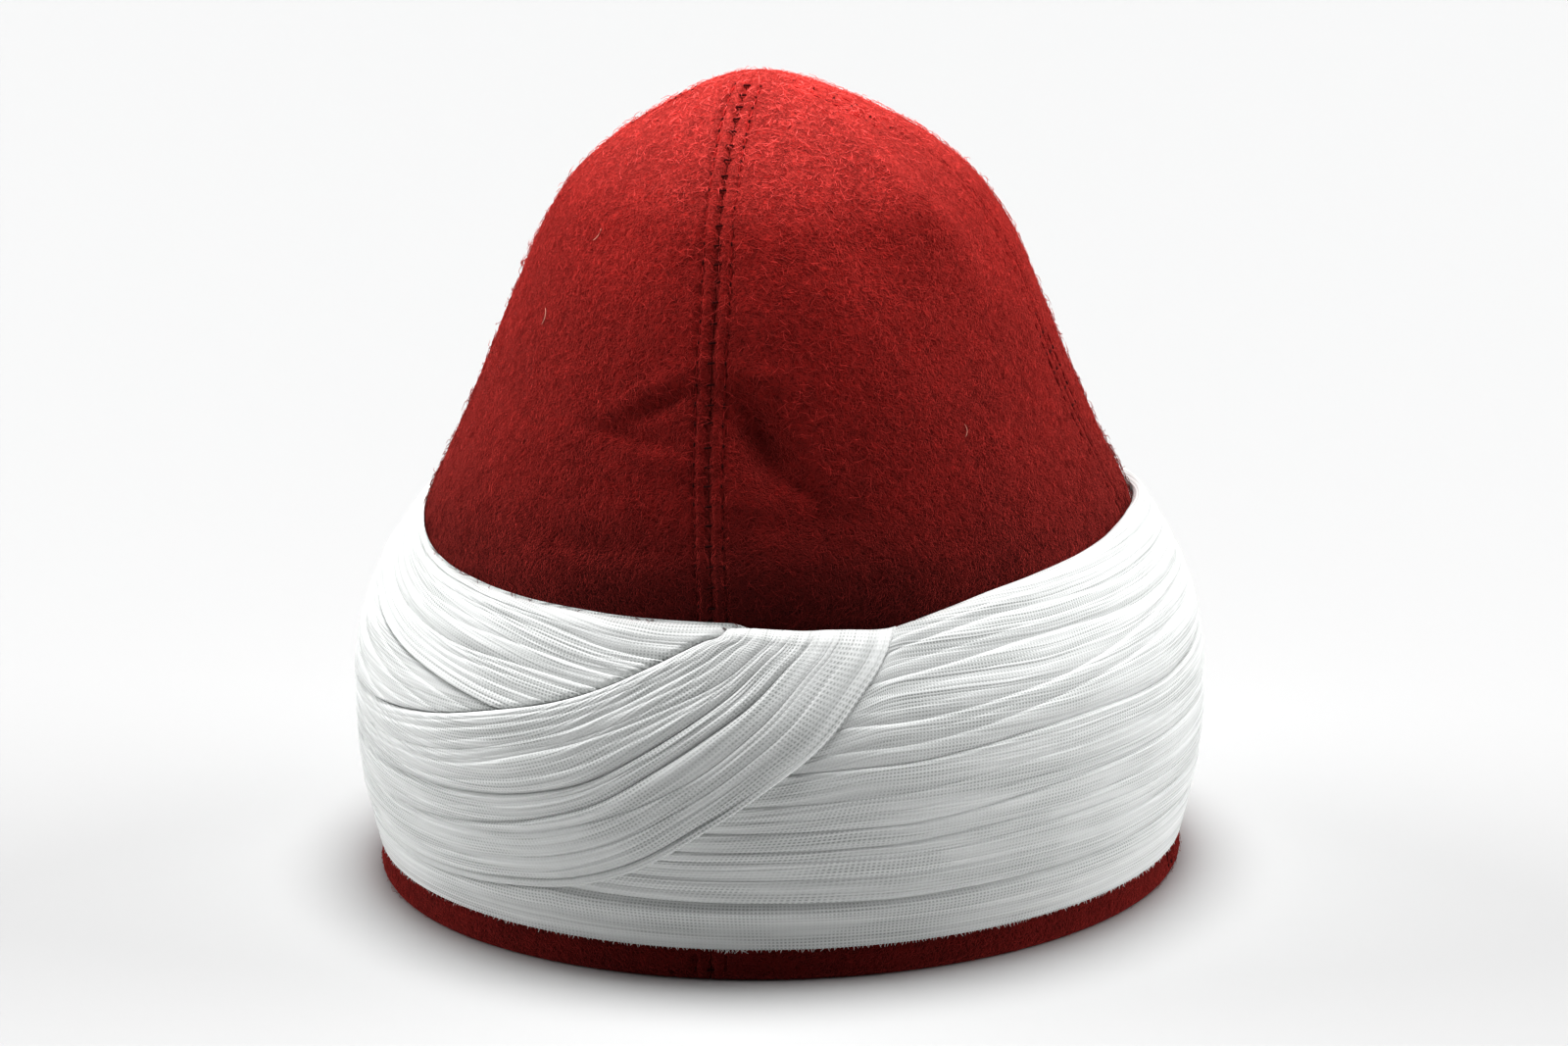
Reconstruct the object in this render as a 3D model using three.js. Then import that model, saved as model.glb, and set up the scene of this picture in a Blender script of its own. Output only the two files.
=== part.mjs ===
import * as THREE from 'three';

// A ready-wound turban: a tall red felt cap sewn of four gores, with white muslin wound
// round its lower half. Millimetres, +Z up, front towards -Y. The origin is the centre of
// the rim's foot. Angles are in degrees from the front, growing towards +X.

// Driving sizes of the felt cap
const rimRadius = 96;        // outside of the felt at its foot
const capHeight = 193.5;     // from the foot to the apex
const shoulderRadius = 84.3; // outside of the felt where the straight wall ends
const shoulderRise = 5;      // that place above the winding's front edge
const feltWall = 2.5;        // thickness of the felt
const rimOval = 0.031;       // how far the plan is drawn out along one diagonal, as a ratio
const goreAngle = 90;        // how far round the cap one gore goes, in degrees
const seamGap = 0.3;         // between two gores at a seam
const dentDepth = 2.4;       // deepest dent in the crown

// Driving sizes of the wound muslin
const bandFoot = 7.6;        // its lower edge above the foot of the rim
const bandTop = 83;          // its upper edge above the foot, at the front
const bandSideRise = 8.7;    // how much higher that edge stands at the right and the back
const bandDepth = 12.7;      // thickest place of the winding, over the felt
const turnThickness = 2.6;   // the outer turn
const sashLift = 1.75;       // how far the sash stands out over the rest of the winding
const pleatDepth = 1.1;      // deepest groove between two pleats of the outer turn
const underPleatDepth = 0.9; // deepest groove between two pleats of the under turns
const layerGap = 0.4;        // between the felt and what is wound on it
const turnGap = 0.95;        // between the outer turn and the turns under it
const jointGap = 0.8;        // between the two under turns, along the felt

// Sections of the crown from the shoulder, where the straight wall ends, to the apex. Height is
// a share of the crown's height, radius and sideways lean are shares of the shoulder's radius,
// and turn is how far the seams have twisted, in degrees.
const crownSections = [
  { height: 0, radius: 1, lean: -0.009, turn: -0.6 },
  { height: 0.05, radius: 0.98, lean: -0.01, turn: -1 },
  { height: 0.11, radius: 0.942, lean: -0.011, turn: -1.6 },
  { height: 0.284, radius: 0.846, lean: -0.013, turn: -3 },
  { height: 0.468, radius: 0.755, lean: -0.015, turn: -3.8 },
  { height: 0.651, radius: 0.657, lean: -0.017, turn: -4.4 },
  { height: 0.752, radius: 0.575, lean: -0.021, turn: -5.5 },
  { height: 0.835, radius: 0.462, lean: -0.027, turn: -6.8 },
  { height: 0.908, radius: 0.317, lean: -0.04, turn: -8.5 },
  { height: 0.963, radius: 0.176, lean: -0.056, turn: -10 },
  { height: 0.991, radius: 0.071, lean: -0.066, turn: -11 },
  { height: 1, radius: 0.0074, lean: -0.068, turn: -12 },
];

// Dents and folds pressed into the crown. Angle, halfAngle and tilt are in degrees, height and
// halfHeight are shares of the cap's height, and depth is a share of the deepest dent.
const capDents = [
  { angle: 9, height: 0.655, halfAngle: 8, halfHeight: 0.05, tilt: -30, depth: 1 },
  { angle: -17, height: 0.63, halfAngle: 11, halfHeight: 0.02, tilt: 35, depth: 0.55 },
  { angle: -19, height: 0.675, halfAngle: 12, halfHeight: 0.024, tilt: 35, depth: -0.35 },
  { angle: -23, height: 0.5, halfAngle: 12, halfHeight: 0.018, tilt: -8, depth: 0.45 },
  { angle: 33, height: 0.84, halfAngle: 14, halfHeight: 0.07, tilt: 0, depth: 0.4 },
  { angle: 62, height: 0.83, halfAngle: 9, halfHeight: 0.06, tilt: 0, depth: -0.4 },
  { angle: 150, height: 0.7, halfAngle: 20, halfHeight: 0.06, tilt: 15, depth: 0.35 },
  { angle: -125, height: 0.62, halfAngle: 16, halfHeight: 0.05, tilt: -20, depth: 0.4 },
];

// Upper edge of the winding round the cap: rise is a share of the side rise.
const bandTopEdge = [
  { angle: -180, rise: 1 },
  { angle: -80, rise: 0.6 },
  { angle: -66, rise: 0.22 },
  { angle: -44, rise: 0.02 },
  { angle: 0, rise: 0 },
  { angle: 27, rise: -0.16 },
  { angle: 35, rise: 0.14 },
  { angle: 45, rise: 0.42 },
  { angle: 69, rise: 0.73 },
  { angle: 100, rise: 1 },
  { angle: 180, rise: 1 },
];

// Section of the winding from its lower to its upper edge: height is a share of the
// winding's height, depth is how far it stands out from the felt, as a share of its depth.
const bandSection = [
  { height: 0, depth: 0.1 },
  { height: 0.08, depth: 0.3 },
  { height: 0.2, depth: 0.58 },
  { height: 0.4, depth: 0.89 },
  { height: 0.6, depth: 1 },
  { height: 0.75, depth: 0.87 },
  { height: 0.86, depth: 0.62 },
  { height: 0.94, depth: 0.38 },
  { height: 0.985, depth: 0.2 },
  { height: 1, depth: 0.06 },
];

// The outer turn from its hidden start at the front, round the right and the back, to the
// sash that rises over the front and is tucked in behind the upper edge. Angles run on past
// 360. Heights are shares of the winding's height. Lift is a share of the sash's lift,
// thick is a share of the turn's thickness, and tuck is 1 where the end is pushed in.
const outerTurn = [
  { lowAngle: -22, low: 0.16, highAngle: 10, high: 0.92, lift: -0.75, thick: 0.4, tuck: 0 },
  { lowAngle: -8, low: 0.152, highAngle: 20, high: 0.93, lift: -0.68, thick: 0.5, tuck: 0 },
  { lowAngle: 8, low: 0.15, highAngle: 27, high: 0.945, lift: -0.62, thick: 0.55, tuck: 0 },
  { lowAngle: 25, low: 0.15, highAngle: 32, high: 1, lift: -0.55, thick: 0.6, tuck: 0 },
  { lowAngle: 48, low: 0.15, highAngle: 50, high: 1, lift: -0.2, thick: 0.85, tuck: 0 },
  { lowAngle: 90, low: 0.15, highAngle: 90, high: 1, lift: 0, thick: 1, tuck: 0 },
  { lowAngle: 135, low: 0.14, highAngle: 135, high: 0.93, lift: 0, thick: 1, tuck: 0 },
  { lowAngle: 180, low: 0.13, highAngle: 180, high: 0.82, lift: 0, thick: 1, tuck: 0 },
  { lowAngle: 225, low: 0.12, highAngle: 225, high: 0.66, lift: 0, thick: 1, tuck: 0 },
  { lowAngle: 270, low: 0.1, highAngle: 270, high: 0.52, lift: 0, thick: 1, tuck: 0 },
  { lowAngle: 298, low: 0.1, highAngle: 296, high: 0.55, lift: 0.2, thick: 1, tuck: 0 },
  { lowAngle: 318, low: 0.105, highAngle: 310, high: 0.59, lift: 0.6, thick: 0.95, tuck: 0 },
  { lowAngle: 332, low: 0.14, highAngle: 320, high: 0.635, lift: 0.95, thick: 0.92, tuck: 0 },
  { lowAngle: 343, low: 0.19, highAngle: 329, high: 0.69, lift: 1, thick: 0.92, tuck: 0 },
  { lowAngle: 352, low: 0.275, highAngle: 338, high: 0.745, lift: 1, thick: 0.92, tuck: 0 },
  { lowAngle: 361, low: 0.415, highAngle: 345.5, high: 0.81, lift: 1, thick: 0.92, tuck: 0 },
  { lowAngle: 369, low: 0.55, highAngle: 351.5, high: 0.875, lift: 1, thick: 0.92, tuck: 0 },
  { lowAngle: 376, low: 0.68, highAngle: 356, high: 0.925, lift: 1, thick: 0.92, tuck: 0 },
  { lowAngle: 381.5, low: 0.82, highAngle: 359, high: 0.955, lift: 1, thick: 0.92, tuck: 0 },
  { lowAngle: 386, low: 0.93, highAngle: 361, high: 0.97, lift: 1, thick: 0.92, tuck: 0 },
  { lowAngle: 388, low: 0.985, highAngle: 362, high: 0.985, lift: 0.8, thick: 0.7, tuck: 0.45 },
  { lowAngle: 388.5, low: 1, highAngle: 362, high: 1, lift: 0.6, thick: 0.4, tuck: 1 },
];

// Grooves between the pleats of the outer turn, from its lower to its upper edge. Turn and
// sash are where a groove lies across the width, on the right and on the sash, as shares of
// the width. Their depths are shares of the deepest groove.
const outerPleats = [
  { turn: 0.1, sash: 0.09, turnDepth: 0.55, sashDepth: 0.8 },
  { turn: 0.185, sash: 0.18, turnDepth: 0.45, sashDepth: 0.45 },
  { turn: 0.245, sash: 0.24, turnDepth: 0.55, sashDepth: 0.3 },
  { turn: 0.32, sash: 0.29, turnDepth: 0.65, sashDepth: 0.65 },
  { turn: 0.38, sash: 0.36, turnDepth: 0.45, sashDepth: 0.3 },
  { turn: 0.44, sash: 0.46, turnDepth: 0.55, sashDepth: 0.8 },
  { turn: 0.545, sash: 0.53, turnDepth: 1, sashDepth: 0.3 },
  { turn: 0.645, sash: 0.6, turnDepth: 0.6, sashDepth: 0.9 },
  { turn: 0.73, sash: 0.705, turnDepth: 0.6, sashDepth: 0.7 },
  { turn: 0.835, sash: 0.845, turnDepth: 0.95, sashDepth: 0.6 },
  { turn: 0.93, sash: 0.93, turnDepth: 0.6, sashDepth: 0.4 },
];

// Grooves between the pleats of the two under turns: at is a share of the width.
const underPleats = [
  { at: 0.2, depth: 0.6 },
  { at: 0.44, depth: 1 },
  { at: 0.66, depth: 0.6 },
  { at: 0.85, depth: 0.9 },
];

// The line where the high under turn lies over the low one: a tilted ring, its middle and
// swing as shares of the winding's height, and the angle where it stands highest.
const underJoint = { middleShare: 0.695, swingShare: 0.165, peakAngle: -120 };

// Where the turns start and end, as shares of the winding's height
const hemUnderTurn = 0.22;      // top of the hem, hidden under the outer turn
const lowUnderStart = 0.24;     // lower edge of the low under turn, hidden too
const coveredTop = 0.86;        // top of the high under turn where the outer turn covers it
const edgeRoll = 0.45;          // thickness left at a rolled edge, as a share of the turn's
const hemStepShare = 0.03;      // how far below the outer turn's edge the hem steps in
const hemLapShare = 0.005;      // how far below that edge the hem's hidden part starts
const swellStartShare = 0.015;  // how far above that edge the under turns start to swell out
const swellShare = 0.13;        // and over how much of the height they do
const comeOutShare = 0.06;      // the same for the covered top, where it comes out
const slopeShare = 0.015;       // span over which the winding's slope is measured

const shoulderHeight = bandTop + shoulderRise;
const degrees = Math.PI / 180;
const smoothstep = (x) => THREE.MathUtils.smoothstep(x, 0, 1);
const lerp = THREE.MathUtils.lerp;

// One column of a table, read between its rows along a straight line.
function readTable(table, key, at, column) {
  let row = 1;
  while (row < table.length - 1 && table[row][key] < at) row += 1;
  const from = table[row - 1];
  const to = table[row];
  const share = THREE.MathUtils.clamp((at - from[key]) / (to[key] - from[key]), 0, 1);
  return lerp(from[column], to[column], share);
}

const wrapAngle = (angle) => THREE.MathUtils.euclideanModulo(angle + 180, 360) - 180;

// The plan is a little longer on one diagonal at the foot and grows round towards the apex.
function ovalRatio(angle, height) {
  return 1 - rimOval * Math.sin(2 * angle * degrees) * (1 - height / capHeight);
}

// How far the crown is pressed in at a place, in millimetres; a fold that stands out is negative.
function dentAt(angle, height) {
  const fade = 1.2;
  let depth = 0;
  for (const dent of capDents) {
    const around = wrapAngle(angle - dent.angle) / dent.halfAngle;
    const above = (height / capHeight - dent.height) / dent.halfHeight;
    const tilted = above - around * Math.tan(dent.tilt * degrees);
    depth += dentDepth * dent.depth * Math.exp(-(around * around + tilted * tilted) * fade);
  }
  return depth;
}

function placed(radius, angle, height, lean) {
  const turn = angle * degrees;
  return new THREE.Vector3(lean + radius * Math.sin(turn), -radius * Math.cos(turn), height);
}

// Closed solid from cross-sections that each hold the same number of points in a loop. The
// ends are joined to each other, or each is closed by a strip across its loop.
function solidFromLoops(loops, outerCount, joined) {
  const size = loops[0].length;
  const positions = loops.flat().flatMap((point) => [point.x, point.y, point.z]);
  const faces = [];
  const spans = joined ? loops.length : loops.length - 1;
  for (let span = 0; span < spans; span += 1) {
    const here = span * size;
    const next = ((span + 1) % loops.length) * size;
    for (let i = 0; i < size; i += 1) {
      const j = (i + 1) % size;
      faces.push([here + i, next + i, next + j], [here + i, next + j, here + j]);
    }
  }
  if (!joined) {
    for (const [first, flip] of [[0, false], [(loops.length - 1) * size, true]]) {
      let outer = 0;
      let inner = size - 1;
      while (outer < outerCount - 1 || inner > outerCount) {
        const outerShare = outer / (outerCount - 1);
        const innerShare = (size - 1 - inner) / Math.max(size - 1 - outerCount, 1);
        const outerLags = outer < outerCount - 1 && outerShare <= innerShare;
        const stepOuter = inner === outerCount || outerLags;
        const face = stepOuter ? [outer, outer + 1, inner] : [outer, inner - 1, inner];
        faces.push((flip ? face.toReversed() : face).map((index) => first + index));
        if (stepOuter) outer += 1;
        else inner -= 1;
      }
    }
  }
  return orientedGeometry(positions, faces);
}

// Turns every face round if the solid would come out with its inside facing out.
function orientedGeometry(positions, faces) {
  const corner = (index) => new THREE.Vector3().fromArray(positions, 3 * index);
  let volume = 0;
  for (const [a, b, c] of faces) volume += corner(a).dot(corner(b).cross(corner(c)));
  const turned = volume < 0 ? faces.map((face) => face.toReversed()) : faces;
  const geometry = new THREE.BufferGeometry();
  geometry.setAttribute('position', new THREE.Float32BufferAttribute(positions, 3));
  geometry.setIndex(turned.flat());
  geometry.computeVertexNormals();
  return geometry;
}

// Felt gores

// Stations up the cap's profile, with the direction in which the wall's thickness is measured.
// The wall under the winding is straight, and a smooth curve runs on from it to the apex.
function capStations() {
  const wallSteps = 3;
  const crownSteps = 18;
  const foot = new THREE.Vector3(rimRadius, 0, 0);
  const crown = crownSections.map((row) => new THREE.Vector3(
    row.radius * shoulderRadius,
    lerp(shoulderHeight, capHeight, row.height),
    row.lean * shoulderRadius,
  ));
  const curve = new THREE.CatmullRomCurve3(crown, false, 'centripetal');
  const points = [];
  for (let step = 0; step < wallSteps; step += 1) {
    points.push(foot.clone().lerp(crown[0], step / wallSteps));
  }
  points.push(...curve.getPoints(crownSteps));
  return points.map((point, index) => {
    const before = points[Math.max(index - 1, 0)];
    const after = points[Math.min(index + 1, points.length - 1)];
    const rise = after.y - before.y;
    const run = before.x - after.x;
    const length = Math.hypot(rise, run);
    const station = {
      radius: point.x,
      height: point.y,
      lean: point.z,
      turn: seamTurn(point.y),
      outward: rise / length,
      upward: run / length,
    };
    if (index === 0) Object.assign(station, { outward: 1, upward: 0 });
    if (index === points.length - 1) Object.assign(station, { outward: 0, upward: 1 });
    return station;
  });
}

// Twist of the seams at a height: it grows evenly up the wall, then as the crown's table says.
function seamTurn(height) {
  if (height < shoulderHeight) return (crownSections[0].turn * height) / shoulderHeight;
  const share = (height - shoulderHeight) / (capHeight - shoulderHeight);
  return readTable(crownSections, 'height', share, 'turn');
}

// One gore: a felt wall between two seams, from the rim to the apex.
function goreGeometry(startAngle) {
  const across = 9;
  const loops = capStations().map((station) => {
    const wallPoint = (share, inward) => {
      const radius = station.radius - inward * station.outward;
      const edge = Math.asin(Math.min(seamGap / 2 / Math.max(radius, seamGap), 1)) / degrees;
      const angle = station.turn + startAngle + lerp(edge, goreAngle - edge, share);
      const pressed = dentAt(angle, station.height) * station.outward;
      const outside = station.radius * ovalRatio(angle, station.height) - pressed;
      const height = station.height - inward * station.upward;
      return placed(outside - inward * station.outward, angle, height, station.lean);
    };
    const shares = Array.from({ length: across + 1 }, (_, index) => index / across);
    const outer = shares.map((share) => wallPoint(share, 0));
    const inner = shares.toReversed().map((share) => wallPoint(share, feltWall));
    return [...outer, ...inner];
  });
  return solidFromLoops(loops, across + 1, false);
}

// Surfaces of the winding

// The felt wall under the winding: its outside radius and its lean at a height.
function wallAt(angle, height) {
  const share = height / shoulderHeight;
  return {
    radius: lerp(rimRadius, shoulderRadius, share) * ovalRatio(angle, height),
    lean: crownSections[0].lean * shoulderRadius * share,
  };
}

function bandHeightAt(angle, share) {
  const top = bandTop + bandSideRise * readTable(bandTopEdge, 'angle', wrapAngle(angle), 'rise');
  return bandFoot + share * (top - bandFoot);
}

// A point on the winding's section, moved square off its surface by an offset. It never comes
// nearer to the felt than one gap.
function bandPoint(angle, share, offset) {
  const onSection = (at) => {
    const height = bandHeightAt(angle, at);
    const depth = bandDepth * readTable(bandSection, 'height', at, 'depth');
    return new THREE.Vector2(wallAt(angle, height).radius + depth, height);
  };
  const above = onSection(Math.min(share + slopeShare, 1));
  const along = above.sub(onSection(Math.max(share - slopeShare, 0))).normalize();
  const point = onSection(share).add(new THREE.Vector2(along.y, -along.x).multiplyScalar(offset));
  const wall = wallAt(angle, point.y);
  return { radius: Math.max(point.x, wall.radius + layerGap), height: point.y, lean: wall.lean };
}

const spot = (angle, point) => placed(point.radius, angle, point.height, point.lean);

// Upper edge of the outer turn where it passes over the under turns, as a share of the height.
function outerTurnEdge(angle) {
  const start = outerTurn.find((row) => row.high === 1).highAngle;
  const unrolled = THREE.MathUtils.euclideanModulo(angle - start, 360) + start;
  const covered = unrolled <= outerTurn.at(-1).highAngle;
  return covered ? readTable(outerTurn, 'highAngle', unrolled, 'high') : 1;
}

// Lower edge of the outer turn where it passes over the hem, as a share of the height.
function outerTurnFoot(angle) {
  const start = outerTurn[0].lowAngle;
  const unrolled = THREE.MathUtils.euclideanModulo(angle - start, 360) + start;
  return readTable(outerTurn, 'lowAngle', unrolled, 'low');
}

// The hem: the smooth lowest turn. Above the outer turn's edge it runs on thinner, hidden.
function hemLoops() {
  const stations = 60;
  const visible = [0, 0.45, 0.85];
  const hidden = [0, 1];
  const loops = [];
  for (let station = 0; station < stations; station += 1) {
    const angle = (station * 360) / stations;
    const foot = outerTurnFoot(angle);
    const covered = -turnThickness - turnGap;
    const outer = visible.map((at) => spot(angle, bandPoint(angle, at * (foot - hemStepShare), 0)));
    outer.push(spot(angle, bandPoint(angle, foot - hemStepShare, -edgeRoll)));
    for (const at of hidden) {
      outer.push(spot(angle, bandPoint(angle, lerp(foot - hemLapShare, hemUnderTurn, at), covered)));
    }
    const inner = [hemUnderTurn, foot, 0].map((share) => {
      const height = bandHeightAt(angle, share);
      const wall = wallAt(angle, height);
      return placed(wall.radius + layerGap, angle, height, wall.lean);
    });
    loops.push([...outer, ...inner]);
  }
  return { loops, outerCount: visible.length + 1 + hidden.length };
}

// Outer surface of the under turns: it lies a gap below the outer turn and swells out to the
// winding's full section where the outer turn leaves it bare.
function underOffset(angle, share) {
  const bare = smoothstep((share - outerTurnEdge(angle) - swellStartShare) / swellShare);
  return lerp(-turnThickness - turnGap, 0, bare);
}

function underJointAt(angle) {
  const fromPeak = (angle - underJoint.peakAngle) * degrees;
  return underJoint.middleShare + underJoint.swingShare * Math.cos(fromPeak);
}

// One under turn between two edges, each a share of the winding's height at an angle.
function underTurnLoops(lowerEdge, upperEdge) {
  const stations = 45;
  const innerSteps = 3;
  const ridges = underPleats.map((pleat, index) => {
    const next = underPleats[index + 1];
    return { at: (pleat.at + (next ? next.at : 1)) / 2, depth: 0 };
  });
  const across = [{ at: 0, depth: 1 }, { at: 0.08, depth: 0 }];
  underPleats.forEach((pleat, index) => across.push(pleat, ridges[index]));
  across.push({ at: 1, depth: 0.4 });
  const loops = [];
  for (let station = 0; station < stations; station += 1) {
    const angle = (station * 360) / stations;
    const low = lowerEdge(angle);
    const high = upperEdge(angle);
    const outer = across.map((row) => {
      const share = lerp(low, high, row.at);
      const offset = underOffset(angle, share) - row.depth * underPleatDepth;
      return spot(angle, bandPoint(angle, share, offset));
    });
    const inner = [];
    for (let step = innerSteps; step >= 0; step -= 1) {
      const height = bandHeightAt(angle, lerp(low, high, step / innerSteps));
      const wall = wallAt(angle, height);
      inner.push(placed(wall.radius + layerGap, angle, height, wall.lean));
    }
    loops.push([...outer, ...inner]);
  }
  return { loops, outerCount: across.length };
}

// Outer turn and sash

// Places along the outer turn, closer together where its rows are.
function outerTurnStations() {
  const widestStep = 9;
  const stations = [];
  for (let row = 0; row < outerTurn.length - 1; row += 1) {
    const from = outerTurn[row];
    const to = outerTurn[row + 1];
    const span = Math.max(to.lowAngle - from.lowAngle, to.highAngle - from.highAngle);
    const steps = Math.ceil(span / widestStep);
    for (let step = 0; step < steps; step += 1) {
      const share = step / steps;
      const station = {};
      for (const key of Object.keys(from)) station[key] = lerp(from[key], to[key], share);
      stations.push(station);
    }
  }
  stations.push(outerTurn.at(-1));
  return stations;
}

// Rows across the turn: grooves with a ridge between each two, blended from the turn on the
// right to the sash at the front.
function pleatRows(blend) {
  const grooves = outerPleats.map((pleat) => ({
    at: lerp(pleat.turn, pleat.sash, blend),
    depth: lerp(pleat.turnDepth, pleat.sashDepth, blend),
  }));
  const rows = [{ at: 0, depth: 0, edge: true }];
  grooves.forEach((groove, index) => {
    const before = index === 0 ? 0 : grooves[index - 1].at;
    rows.push({ at: (before + groove.at) / 2, depth: 0, edge: false });
    rows.push({ ...groove, edge: false });
  });
  rows.push({ at: (grooves.at(-1).at + 1) / 2, depth: 0, edge: false });
  rows.push({ at: 1, depth: 0, edge: true });
  return rows;
}

function outerTurnLoops() {
  const innerSteps = 8;
  const blendFrom = 150;
  const blendTo = 290;
  // How deep the tucked end's two faces are pushed in: down from the upper edge, in
  // thicknesses, and out from the felt, in gaps.
  const tuckOuter = { down: 0.5, out: 1.2 };
  const tuckInner = { down: 1.1, out: 3 };
  const loops = outerTurnStations().map((station) => {
    const thickness = turnThickness * station.thick;
    const lift = sashLift * station.lift;
    // A place across the station, moved off the surface and, at the end, pushed in.
    const acrossPoint = (at, offset, tuck) => {
      const angle = lerp(station.lowAngle, station.highAngle, at);
      const share = lerp(station.low, station.high, at);
      const point = bandPoint(angle, share, offset);
      const tuckedHeight = bandHeightAt(angle, 1) - turnThickness * tuck.down;
      const tuckedRadius = wallAt(angle, tuckedHeight).radius + layerGap * tuck.out;
      point.radius = lerp(point.radius, tuckedRadius, station.tuck);
      point.height = lerp(point.height, tuckedHeight, station.tuck);
      return spot(angle, point);
    };
    const rows = pleatRows(smoothstep((station.lowAngle - blendFrom) / (blendTo - blendFrom)));
    const outer = rows.map((row) => {
      const grooved = row.depth * pleatDepth * station.thick;
      const sunk = row.edge ? thickness * (1 - edgeRoll) : grooved;
      return acrossPoint(row.at, lift - sunk * (1 - station.tuck), tuckOuter);
    });
    const inner = [];
    for (let step = innerSteps - 1; step >= 0; step -= 1) {
      inner.push(acrossPoint(step / (innerSteps - 1), lift - thickness, tuckInner));
    }
    return [...outer, ...inner];
  });
  return { loops, outerCount: pleatRows(0).length };
}

// Assembly

const felt = { color: 0x9e1c1f, roughness: 0.95, metalness: 0 };
const muslin = { color: 0xeef1f1, roughness: 0.85, metalness: 0 };

function addPiece(group, name, geometry, finish) {
  const mesh = new THREE.Mesh(geometry, new THREE.MeshStandardMaterial(finish));
  mesh.name = name;
  group.add(mesh);
}

const group = new THREE.Group();
const goreNames = [
  'felt_gore_front_right',
  'felt_gore_back_right',
  'felt_gore_back_left',
  'felt_gore_front_left',
];
goreNames.forEach((name, index) => addPiece(group, name, goreGeometry(index * goreAngle), felt));

const jointShare = jointGap / (bandTop - bandFoot);
const hiddenStart = () => lowUnderStart;
const aboveJoint = (angle) => underJointAt(angle) + jointShare;
const visibleTop = (angle) => {
  const comeOut = smoothstep((1 - outerTurnEdge(angle)) / comeOutShare);
  return lerp(coveredTop, 1, comeOut);
};
const turns = [
  { name: 'muslin_hem_turn', cloth: hemLoops(), joined: true },
  { name: 'muslin_low_under_turn', cloth: underTurnLoops(hiddenStart, underJointAt), joined: true },
  { name: 'muslin_high_under_turn', cloth: underTurnLoops(aboveJoint, visibleTop), joined: true },
  { name: 'muslin_outer_turn', cloth: outerTurnLoops(), joined: false },
];
for (const { name, cloth, joined } of turns) {
  addPiece(group, name, solidFromLoops(cloth.loops, cloth.outerCount, joined), muslin);
}

export default group;
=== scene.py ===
"""Looks of a ready-wound turban: a tall red felt cap sewn of four gores, with white muslin
wound round its lower half. Metres in the scene; the tables are in millimetres and degrees.
Angles run from the front, growing towards +X."""

import bpy
import numpy as np
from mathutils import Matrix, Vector


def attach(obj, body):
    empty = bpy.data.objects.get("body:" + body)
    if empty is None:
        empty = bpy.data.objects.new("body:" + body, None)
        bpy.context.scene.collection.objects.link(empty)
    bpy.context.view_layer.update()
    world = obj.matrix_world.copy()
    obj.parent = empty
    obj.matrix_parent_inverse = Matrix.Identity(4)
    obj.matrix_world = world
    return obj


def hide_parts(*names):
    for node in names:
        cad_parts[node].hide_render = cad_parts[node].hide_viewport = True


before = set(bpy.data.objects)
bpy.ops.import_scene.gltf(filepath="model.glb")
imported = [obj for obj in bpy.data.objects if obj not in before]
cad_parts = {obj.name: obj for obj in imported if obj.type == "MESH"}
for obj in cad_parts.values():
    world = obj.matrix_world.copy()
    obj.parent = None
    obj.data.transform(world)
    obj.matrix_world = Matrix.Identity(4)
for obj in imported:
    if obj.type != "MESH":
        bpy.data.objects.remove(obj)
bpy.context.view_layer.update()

# Camera
# It looks down on the front a little from the right, as the photograph was taken.
scene = bpy.context.scene
camera_data = bpy.data.cameras.new("photo_camera")
camera_data.sensor_width = 36
camera_data.lens = 158.8
camera_data.shift_x = 0.001
camera_data.shift_y = 0.0064
camera_data.clip_end = 30
camera = bpy.data.objects.new("photo_camera", camera_data)
camera.location = (0.2778, -1.5757, 0.544)
looks_at = Vector((0, 0, 0.08))
camera.rotation_euler = (looks_at - camera.location).to_track_quat("-Z", "Y").to_euler()
scene.collection.objects.link(camera)
scene.camera = camera
scene.view_settings.view_transform = "Standard"
scene.view_settings.gamma = 0.8

# Floor and light
# A pale table that runs on out of sight, under one soft light overhead, a little behind the
# cap, and two softer ones low at its sides and a little behind. None comes from the front.
pale_floor = bpy.data.materials.new("pale_floor")
pale_floor.use_nodes = True
floor_shader = pale_floor.node_tree.nodes["Principled BSDF"]
floor_shader.inputs["Base Color"].default_value = (0.522, 0.522, 0.522, 1)
floor_shader.inputs["Roughness"].default_value = 0.7
floor_mesh = bpy.data.meshes.new("floor")
floor_mesh.from_pydata([(-9, -9, 0), (9, -9, 0), (9, 9, 0), (-9, 9, 0)], [], [(0, 1, 2, 3)])
floor_mesh.materials.append(pale_floor)
floor = bpy.data.objects.new("floor", floor_mesh)
floor.location.z = -0.0002
scene.collection.objects.link(floor)

world = bpy.data.worlds.new("studio")
scene.world = world
world.use_nodes = True
sky = world.node_tree.nodes["Background"]
sky.inputs["Color"].default_value = (0.93, 0.96, 1, 1)
sky.inputs["Strength"].default_value = 0.09
backdrop = world.node_tree.nodes.new("ShaderNodeBackground")
backdrop.inputs["Color"].default_value = (0.9, 0.9, 0.9, 1)
seen_directly = world.node_tree.nodes.new("ShaderNodeLightPath")
either = world.node_tree.nodes.new("ShaderNodeMixShader")
world.node_tree.links.new(seen_directly.outputs["Is Camera Ray"], either.inputs[0])
world.node_tree.links.new(sky.outputs[0], either.inputs[1])
world.node_tree.links.new(backdrop.outputs[0], either.inputs[2])
world.node_tree.links.new(
    either.outputs[0], world.node_tree.nodes["World Output"].inputs["Surface"])

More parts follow.
